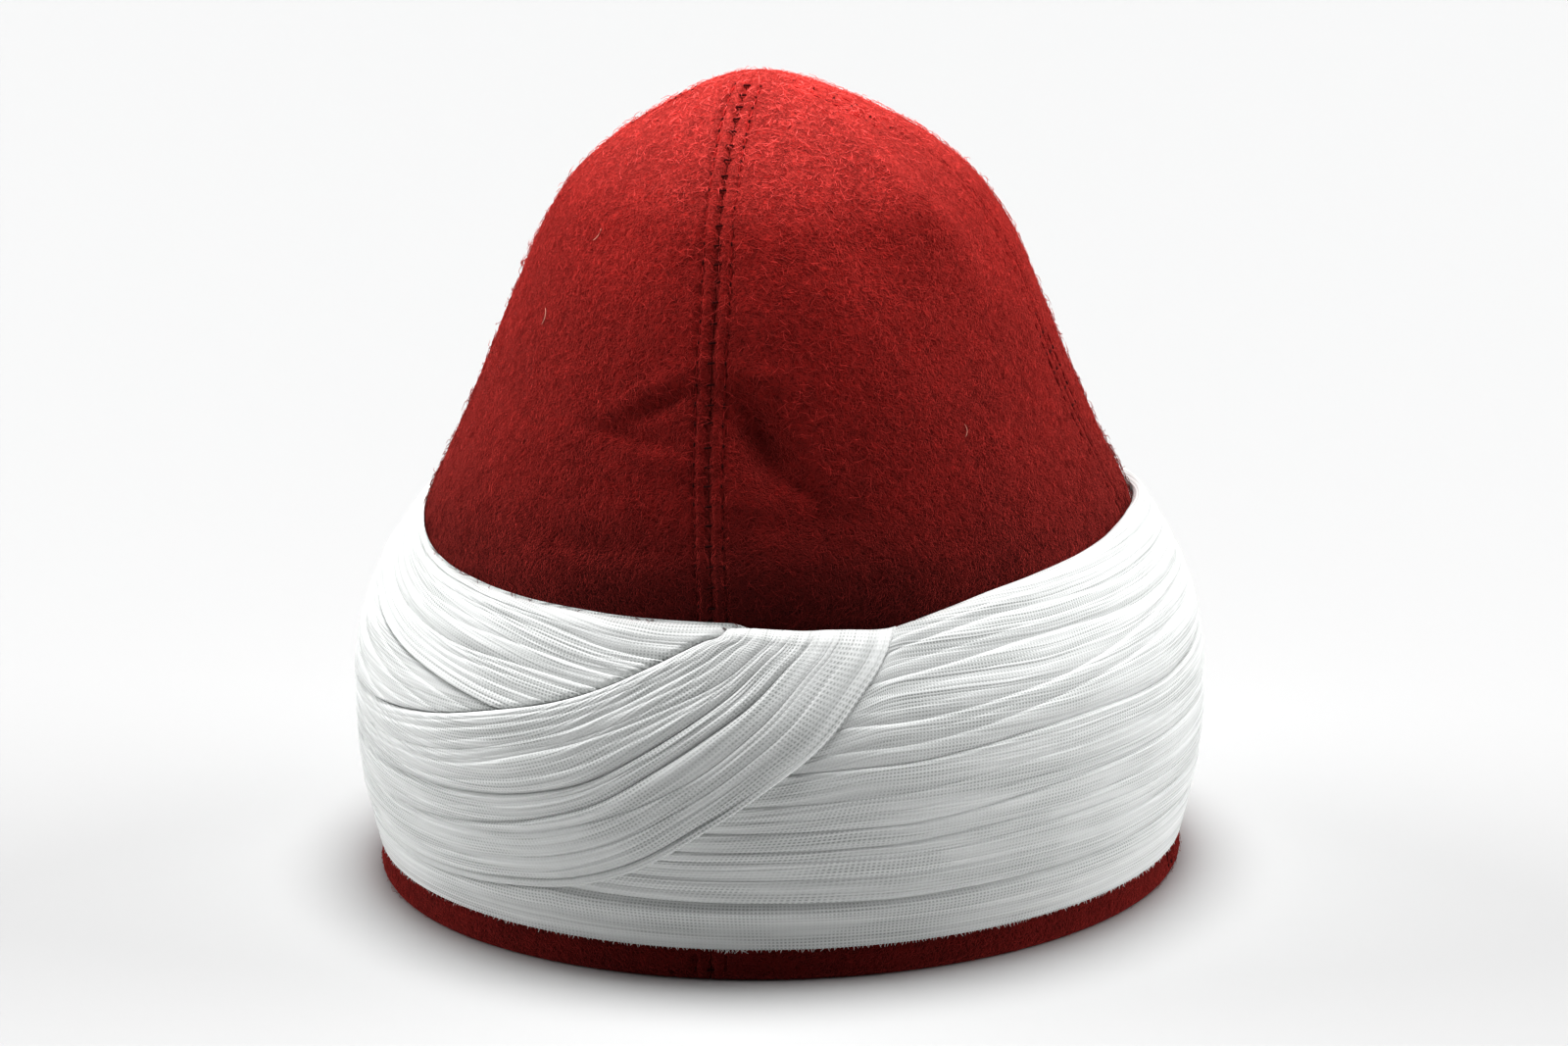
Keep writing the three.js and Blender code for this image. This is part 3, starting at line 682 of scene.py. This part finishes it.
def waxing(count, along, seed, reach, least):
    """Strength of each line along the turn: it comes and goes between a least share and 1."""
    number = np.arange(count)[:, None] * 5.7
    return least + (1 - least) * smooth(0.5 + 0.9 * ripple(along / reach, number, 0.5, seed))


def with_minor(lines, depth, along, seed, spots, minor_depth):
    """Adds shallow lines between the main ones: spots holds, for each gap from the lower edge
    up, the shares of the gap at which a shallow line runs."""
    edges = np.concatenate([0 * lines[:1], lines, 0 * lines[:1] + 1])
    all_lines, all_depths, major = [], [], []
    count = sum(len(gap) for gap in spots)
    strength = minor_depth * waxing(count, along, seed, 26, 0.1)
    drift = ripple(along / 30, np.arange(count)[:, None] * 3.1, 0.5, seed + 1)
    made = 0
    for gap, shares in enumerate(spots):
        low, high = edges[gap], edges[gap + 1]
        for share in shares:
            place = share + 0.12 * drift[made]
            all_lines.append(low + (high - low) * place)
            all_depths.append(strength[made])
            major.append(False)
            made += 1
        if gap < len(lines):
            all_lines.append(lines[gap])
            all_depths.append(depth[gap])
            major.append(True)
    return np.array(all_lines), np.array(all_depths), major + [True]


def gauze_relief(along, across, seed):
    """Fine creases that run with the pleats, and a slower unevenness of the layers below."""
    fine = 0.075 * ripple(along / 34, across / 1.5, 0.5, seed)
    broad = 0.11 * ripple(along / 32, across / 5.5, 0.5, seed + 1)
    return fine + broad


def muslin_material():
    """White cotton gauze on the weave map, in metres along and across the cloth: threads both
    ways with small gaps between them, and creases in three widths that run with the cloth.
    It is greyer in the gaps, and painted greyer in the grooves of the two narrower creases:
    painted shade in the grooves, and one layer of cloth there between doubled folds."""
    paint = Paint("white_cotton_muslin")
    weave = paint.node("ShaderNodeUVMap", uv_map="weave").outputs["UV"]
    drift = paint.noise(paint.place, 220, 2)
    bow = paint.noise(paint.place, 26, 1)

    def streaks(along, across, detail, **more):
        """Noise drawn out along the cloth, by its steps in a metre along and across."""
        stretched = paint.node("ShaderNodeVectorMath", {0: weave, 1: (along, across, 1)},
                               operation="MULTIPLY").outputs[0]
        return paint.noise(stretched, 1.0, detail, **more)

    broad = streaks(5, 240, 2, Roughness=0.6)
    wide = streaks(8, 640, 2, Roughness=0.6)
    fine = streaks(14, 1700, 1, Roughness=0.6)
    clear_share = paint.ranged(streaks(35, 160, 2), 0.42, 0.6, 0.1, 0.66)
    split = paint.node("ShaderNodeSeparateXYZ", {0: weave})
    threads = 0.0
    for axis, pitch, waver in ((0, 0.00094, 7.0), (1, 0.00084, 3.0)):
        wobble = paint.math("MULTIPLY_ADD", drift, 1.4, paint.math("MULTIPLY", bow, waver))
        turns = paint.math("MULTIPLY_ADD", split.outputs[axis], 2 * np.pi / pitch, wobble)
        threads = paint.math(
            "MAXIMUM", threads, paint.ranged(paint.math("SINE", turns), -0.9, 0.75))
    # Greyer in the thread gaps and in the grooves of the wide and fine creases: the grooves
    # carry painted shade, and one layer of cloth lies there between doubled folds.
    grey = paint.math("MULTIPLY_ADD", paint.math("SUBTRACT", 1.0, threads), clear_share,
                      paint.ranged(wide, 0.62, 0.4, 0.0, 0.22))
    grey = paint.math("ADD", grey, paint.ranged(fine, 0.66, 0.44, 0.0, 0.16))
    folds = paint.math("MULTIPLY_ADD", broad, 2.2, wide)
    folds = paint.math("MULTIPLY_ADD", fine, 0.45, folds)
    creased = paint.node("ShaderNodeBump", {
        "Height": folds, "Strength": 1.0, "Distance": 0.00032})
    woven = paint.node("ShaderNodeBump", {
        "Height": threads, "Strength": 0.5, "Distance": 0.00012,
        "Normal": creased.outputs["Normal"]})
    paint.finish(paint.mix(grey, (0.86, 0.87, 0.862, 1), (0.385, 0.398, 0.39, 1)),
                 woven.outputs["Normal"])
    shader = paint.shader
    shader.inputs["Roughness"].default_value = 0.85
    shader.inputs["Specular IOR Level"].default_value = 0.2
    shader.inputs["Sheen Weight"].default_value = 0.15
    shader.inputs["Sheen Roughness"].default_value = 0.5
    return paint.material


muslin = muslin_material()


def add_turn(name, outer, inner, node_name, joined):
    """One wound piece from its outer and inner rows of points (rows by stations), with its
    weave map measured along and across the cloth, and evened out over some stations so that
    the threads run straight."""
    evened = 17
    sections = np.concatenate([outer, inner]).transpose(1, 0, 2)
    middle = outer[len(outer) // 2]
    ends = np.concatenate([middle, middle[:1]]) if joined else middle
    along = np.concatenate([[0], np.cumsum(np.linalg.norm(np.diff(ends, axis=0), axis=1))])
    closed = np.concatenate([sections, sections[:, :1]], axis=1)
    steps = np.linalg.norm(np.diff(closed, axis=1), axis=2)
    across = np.concatenate([0 * steps[:, :1], np.cumsum(steps, axis=1)], axis=1)
    beside = np.pad(across, ((evened // 2,) * 2, (0, 0)), "wrap" if joined else "edge")
    total = np.cumsum(np.concatenate([0 * beside[:1], beside]), axis=0)
    across = (total[evened:] - total[:-evened]) / evened
    across = np.concatenate([across, across[:1]]) if joined else across
    uv = np.stack(np.broadcast_arrays(along[:, None], across), -1)
    piece = add_wall(name, sections, len(outer), muslin, joined, uv)
    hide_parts(node_name)


# Outer turn and sash
# One pleated length of muslin. It starts hidden at the front, runs round the right and the
# back, and rises over the front as the diagonal sash, whose end is tucked behind the edge.
turn_stations = [
    # lower edge's angle and share, upper edge's angle and share, lift, thickness, tuck
    (-22, 0.16, 8, 0.92, -0.75, 0.4, 0), (-8, 0.152, 17, 0.93, -0.68, 0.5, 0),
    (8, 0.15, 24, 0.965, -0.62, 0.55, 0), (25, 0.15, 29, 1, -0.4, 0.6, 0),
    (48, 0.15, 50, 1, -0.1, 0.85, 0), (90, 0.15, 90, 1, 0, 1, 0),
    (135, 0.14, 135, 0.93, 0, 1, 0), (180, 0.13, 180, 0.82, 0, 1, 0),
    (225, 0.12, 225, 0.66, 0, 0.95, 0), (270, 0.1, 270, 0.52, 0, 0.8, 0),
    (298, 0.1, 296, 0.55, 0, 0.65, 0), (318, 0.105, 310, 0.59, 0.25, 0.7, 0),
    (332, 0.14, 320, 0.635, 0.6, 0.8, 0), (343, 0.19, 329, 0.69, 0.9, 0.9, 0),
    (352, 0.275, 338, 0.745, 1, 0.92, 0), (361, 0.415, 345.5, 0.81, 1, 0.92, 0),
    (369, 0.55, 351.5, 0.875, 1, 0.92, 0), (376, 0.68, 356, 0.925, 1, 0.92, 0),
    (381.5, 0.82, 359, 0.955, 1, 0.92, 0), (385, 0.905, 360.5, 0.966, 1, 0.95, 0),
    (387.2, 0.965, 361.6, 0.98, 0.9, 0.85, 0.2), (388.1, 0.99, 362, 0.992, 0.7, 0.6, 0.6),
    (388.5, 1, 362, 1, 0.6, 0.4, 1),
]
# Where the main lines lie across the turn, from its lower edge, at places along it
turn_lines = [
    (8, 0.10, 0.178, 0.225, 0.30, 0.36, 0.415, 0.548, 0.61, 0.70, 0.85, 0.925, 0.965),
    (45, 0.108, 0.185, 0.24, 0.315, 0.375, 0.437, 0.54, 0.615, 0.68, 0.825, 0.925, 0.965),
    (75, 0.115, 0.19, 0.255, 0.33, 0.375, 0.43, 0.53, 0.665, 0.735, 0.79, 0.88, 0.935),
    (180, 0.10, 0.18, 0.25, 0.34, 0.39, 0.46, 0.55, 0.64, 0.72, 0.80, 0.90, 0.955),
    (270, 0.06, 0.12, 0.17, 0.33, 0.37, 0.45, 0.58, 0.645, 0.73, 0.81, 0.91, 0.955),
    (316, 0.05, 0.10, 0.155, 0.335, 0.375, 0.46, 0.59, 0.65, 0.755, 0.81, 0.92, 0.96),
    (335, 0.05, 0.10, 0.18, 0.333, 0.385, 0.48, 0.55, 0.635, 0.73, 0.81, 0.92, 0.965),
    (350, 0.05, 0.125, 0.19, 0.335, 0.42, 0.49, 0.545, 0.635, 0.76, 0.835, 0.925, 0.965),
    (365, 0.05, 0.13, 0.19, 0.30, 0.455, 0.515, 0.578, 0.65, 0.74, 0.858, 0.93, 0.965),
    (378, 0.055, 0.14, 0.225, 0.35, 0.468, 0.535, 0.60, 0.64, 0.69, 0.85, 0.93, 0.965),
    (388.5, 0.06, 0.15, 0.23, 0.36, 0.47, 0.54, 0.61, 0.65, 0.70, 0.85, 0.93, 0.965),
]
# Depth of those lines on the turn and on the sash, in millimetres
line_depths = np.array([
    (0.6, 1.3), (0.5, 0.5), (0.6, 0.7), (0.85, 1.1), (0.55, 1.35), (0.5, 0.4),
    (1.35, 1.55), (0.6, 0.5), (0.65, 1.0), (1.0, 1.0), (0.65, 0.55), (0.5, 0.4),
])
# Shares of the gaps between those lines at which shallow ones run, from the lower edge up
turn_minor = [(0.5,), (0.5,), (), (0.35, 0.7), (), (0.5,), (0.35, 0.68), (), (0.5,), (0.35, 0.7),
              (0.5,), (), ()]

turn_start, turn_end = -22, 388.5
station = np.concatenate([
    np.linspace(turn_start, 60, 76)[:-1], np.linspace(60, 290, 150)[:-1],
    np.linspace(290, 384, 128)[:-1], np.linspace(384, turn_end, 18),
])
low_share, high_angle, high_share, lift, thick, tuck = through(turn_stations, station).T
tuck = np.clip(tuck, 0, 1)
high_share = np.minimum(high_share, 1)
# Millimetres to a degree round the winding, and to the whole of its height
per_degree, per_share = 1.83, 76
along = np.concatenate([[0], np.cumsum(np.hypot(
    per_degree * np.diff(station + high_angle) / 2,
    per_share * np.diff(low_share + high_share) / 2))])
turn_width = np.hypot(
    per_degree * (high_angle - station), per_share * (high_share - low_share))
sash_share = smooth((station - 240) / 80)
lines = wander(through(turn_lines, station).T, along, 21, size=0.16)
depth = line_depths[:, :1] * (1 - sash_share) + line_depths[:, 1:] * sash_share
depth = depth * (0.55 + 0.6 * waxing(len(lines), along, 22, 55, 0))
# The lowest line, and later all of them, fade where the sash nears its end
depth[0] *= 1 - 0.8 * smooth((station - 358) / 14)
depth *= 1 - 0.4 * smooth((station - 374) / 11)
lines, depth, major = with_minor(lines, depth, along, 23, turn_minor, 0.3 + 0.2 * sash_share)
rows, sunk = pleats(lines, depth, turn_width, major)
edge_room = np.minimum(rows, 1 - rows) * turn_width
roll_width = 1.3 + 3 * smooth((station - 366) / 14)
rolled = np.sqrt(1 - (1 - np.clip(edge_room / roll_width, 0, 1)) ** 2)
thickness = turn_thickness * thick
relief = sunk + gauze_relief(along, rows * turn_width, 31)
offset = sash_lift * lift + relief * np.sqrt(thick) * (1 - tuck)
offset -= 0.75 * thickness * (1 - rolled)
# Near its end the lower side of the sash lies down on the turns below
offset -= smooth((station - 362) / 14) * (1 - smooth(rows * turn_width / 11))
offset = np.maximum(offset, sash_lift * lift - thickness + 0.1)


def turn_points(across, off, tuck_down, tuck_out):
    """Points across every station at an offset; at the end they are pushed in behind the
    winding's edge, to a depth under it and a distance from the felt."""
    angle = station + (high_angle - station) * across
    share = low_share + (high_share - low_share) * across
    radius, height, lean = band_place(angle, share, off)
    scallop = 0.9 * ripple(angle / 4.2, 0.5, 0.5, 33) * smooth((station - 382) / 4)
    height = height + scallop
    in_height = band_height(angle, 1) + scallop - turn_thickness * tuck_down
    in_radius = wall_at(angle, in_height)[0] + layer_gap * tuck_out
    radius = radius + (in_radius - radius) * tuck
    height = height + (in_height - height) * tuck
    return placed(angle, radius, height, lean)


outer = turn_points(rows, offset, 0.5, 1.2)
inner = turn_points(np.linspace(1, 0, 7)[:, None], sash_lift * lift - thickness, 1.1, 3)
add_turn("pleated_outer_turn", outer, inner, "muslin_outer_turn",
         joined=False)

# Turns under it
# The first turns of the same length of muslin, wound straight on the felt. The higher one laps
# over the lower along a tilted line, and its pleats show above the sash on the left.


# Angles at which the outer turn's upper edge comes up to the winding's top, and where its end
# goes in behind that top
edge_start, edge_end = 29, 361.5


def unrolled(angle):
    """The angle along the outer turn at which its upper edge last passes over a place."""
    return (angle - edge_start) % 360 + edge_start


def outer_edge(angle):
    """Upper edge of the outer turn where it passes over, as a share of the height. Past its
    end all is covered, up to the top."""
    edge = np.interp(unrolled(angle), np.maximum.accumulate(high_angle), high_share)
    return np.where(unrolled(angle) > edge_end, 1, edge)


def room_needed(angle):
    """How far the outer turn reaches in below the winding's surface where it passes over: its
    thickness, less its lift where it rises over the front. Where its start lies under its own
    end there, the start reaches deeper."""
    _, _, over, _, *lifted_and_thin, _ = np.transpose(turn_stations[3:])
    lifted, thin = (np.interp(unrolled(angle), over, values) for values in lifted_and_thin)
    room = turn_thickness * thin - 0.9 * sash_lift * lifted + turn_gap
    return np.maximum(room, np.interp(angle, [-30, -23, 40, 48], [0, 3.2, 3.2, 0]))


def outer_foot(angle):
    """Lower edge of the outer turn where it passes over the hem, as a share of the height."""
    along_turn = (angle - turn_start) % 360 + turn_start
    return through(np.array(turn_stations)[:, :2], along_turn)[..., 0]


def halved(rows):
    """The same rows with one more halfway between each two."""
    made = np.empty((2 * len(rows) - 1, *rows.shape[1:]))
    made[::2], made[1::2] = rows, (rows[1:] + rows[:-1]) / 2
    return made


# Angles of a closed ring, millimetres to a degree round it, and how much longer the way up
# the rounded winding is than its height
ring = np.linspace(-180, 180, 361)[:-1]
ring_per_degree = 1.8
rounding = 1.15


def under_turn(name, node_name, low, high, line_rows, depths, minor, seed):
    """A closed ring of pleated muslin between two edges, given at each angle of the ring. It
    is sunk where the outer turn covers it, and comes up to the surface just past that turn's
    edge. Where it is bare its lower edge laps a little over what lies below, and its upper
    edge dips under."""
    angle = ring
    along = ring_per_degree * (angle + 180)
    width = (high - low) * per_share * rounding
    lines = wander(through(line_rows, angle).T, along, seed, size=0.14)
    depth = np.array(depths)[:, None] * (0.6 + 0.5 * waxing(len(lines), along, seed, 60, 0))
    lines, depth, major = with_minor(lines, depth, along, seed + 2, minor, 0.45)
    rows, sunk = (halved(each) for each in pleats(lines, depth, width, major))
    share = low + (high - low) * rows
    bare = smooth((share - outer_edge(angle) + 0.004) / 0.014)
    edge_room = np.minimum(rows, 1 - rows) * width
    rolled = np.sqrt(1 - (1 - np.clip(edge_room / 0.8, 0, 1)) ** 2)
    relief = sunk + gauze_relief(along, rows * width, seed + 4)
    lap = 0.5 * (np.exp(-rows * width / 1.5) - np.exp(-(1 - rows) * width / 1.5))
    offset = room_needed(angle) * (bare - 1) + relief - 0.5 * (1 - rolled) + bare * lap
    outer = placed(angle, *band_place(angle, share, offset))
    inner = against_felt(angle, low + (high - low) * np.linspace(1, 0, 4)[:, None])
    add_turn(name, outer, inner, node_name, joined=True)


# The tilted line along which the high under turn laps over the low one
joint = 0.695 + 0.165 * np.cos(np.radians(ring + 120))
covered_top = np.interp(ring, [3, 8, 14, 24, 90, 129], [1, 0.97, 0.9, 0.86, 0.86, 1])
high_lines = [
    # angle, then where the main lines lie across the turn
    (-180, 0.07, 0.22, 0.40, 0.60, 0.78, 0.93), (-90, 0.08, 0.20, 0.38, 0.60, 0.80, 0.93),
    (-60, 0.07, 0.19, 0.37, 0.60, 0.80, 0.92), (-45, 0.07, 0.20, 0.38, 0.60, 0.80, 0.905),
    (-30, 0.06, 0.22, 0.45, 0.62, 0.77, 0.87), (-15, 0.06, 0.22, 0.43, 0.57, 0.67, 0.76),
    (0, 0.07, 0.22, 0.42, 0.53, 0.62, 0.72), (60, 0.07, 0.22, 0.40, 0.6, 0.75, 0.9),
    (180, 0.07, 0.22, 0.40, 0.60, 0.78, 0.93),
]
under_turn("pleated_high_under_turn", "muslin_high_under_turn", joint + 0.005, covered_top,
           high_lines, (0.35, 0.55, 0.95, 0.5, 0.5, 1.0),
           [(), (0.5,), (0.4, 0.75), (0.5,), (0.5,), (0.4,), (0.4,)], 41)
low_lines = [
    (-180, 0.2, 0.44, 0.66, 0.8, 0.92), (-60, 0.2, 0.46, 0.68, 0.82, 0.93),
    (60, 0.2, 0.42, 0.64, 0.78, 0.9), (180, 0.2, 0.44, 0.66, 0.8, 0.92),
]
under_turn("pleated_low_under_turn", "muslin_low_under_turn", 0 * ring + 0.24, joint,
           low_lines, (0.6, 0.8, 0.6, 0.7, 0.6), [(), (), (0.5,), (0.5,), (0.5,), ()], 51)

# Hem
# The lowest turn lies smooth and flat on the felt. Its lower edge is the cloth's own selvedge.
hem_angle = np.linspace(-180, 180, 541)[:-1]
foot = outer_foot(hem_angle)
hem_rows = np.concatenate([[0, 0.012, 0.035, 0.07], np.linspace(0.12, 1, 26)])[:, None]
hem_share = hem_rows * (foot - 0.012)
hem_along = ring_per_degree * (hem_angle + 180)
hem_lift = 0.22 * ripple(hem_along / 60, hem_rows * 2.2, 0.5, 61)
hem_lift += 0.1 * ripple(hem_along / 30, hem_rows * 7, 0.5, 62)
hem_lift -= 0.45 * smooth((hem_rows - 0.9) / 0.1)
seen = placed(hem_angle, *band_place(hem_angle, hem_share, hem_lift * smooth(hem_rows / 0.1)))
under = foot + (0.22 - foot) * np.array([0.03, 1])[:, None]
hidden = placed(hem_angle, *band_place(hem_angle, under, -turn_thickness - turn_gap))
inner = against_felt(hem_angle, np.stack([0 * foot + 0.22, foot, 0 * foot]))
add_turn("smooth_hem_turn", np.concatenate([seen, hidden]), inner, "muslin_hem_turn",
         joined=True)

# Selvedge
# Cut weft ends stand out under the hem's selvedge in a close row, with a few longer ones where
# it has frayed beside the front seam.


def cotton_material():
    """Loose cotton yarn on Object coordinates, a little greyer in places."""
    paint = Paint("loose_cotton_yarn")
    mottle = paint.noise(paint.place, 900, 2)
    paint.finish(paint.mix(mottle, (0.92, 0.92, 0.9, 1), (0.6, 0.6, 0.58, 1)))
    paint.shader.inputs["Roughness"].default_value = 0.9
    paint.shader.inputs["Specular IOR Level"].default_value = 0.1
    return paint.material


draw = np.random.default_rng(81)
regular_ends = np.arange(-180, 180, 0.46)
end_angle = np.concatenate([regular_ends, draw.uniform(1, 4.5, 14)])[:, None]
frayed = np.arange(len(end_angle))[:, None] >= len(regular_ends)
length = np.where(frayed, draw.uniform(0.4, 1.0, end_angle.shape),
                  draw.uniform(0.3, 0.85, end_angle.shape))
swing = draw.normal(0, 0.35, end_angle.shape) + frayed * draw.normal(0, 0.9, end_angle.shape)
share = np.array([0, 0.45, 1])
height = band_foot + 0.35 - (length + 0.35) * share
around = end_angle + np.degrees(swing / foot_radius) * share**1.5
wall, lean = wall_at(around, height)
out = wall + 1.15 + (draw.uniform(-0.7, 0.35, end_angle.shape) + 0.4 * frayed) * share
paths = placed(around, out, height, lean)
turn = np.radians(around)
square = np.stack([np.sin(turn), -np.cos(turn), 0 * turn], -1)
tubes("selvedge_ends", paths, square, 0.15, 3, cotton_material())
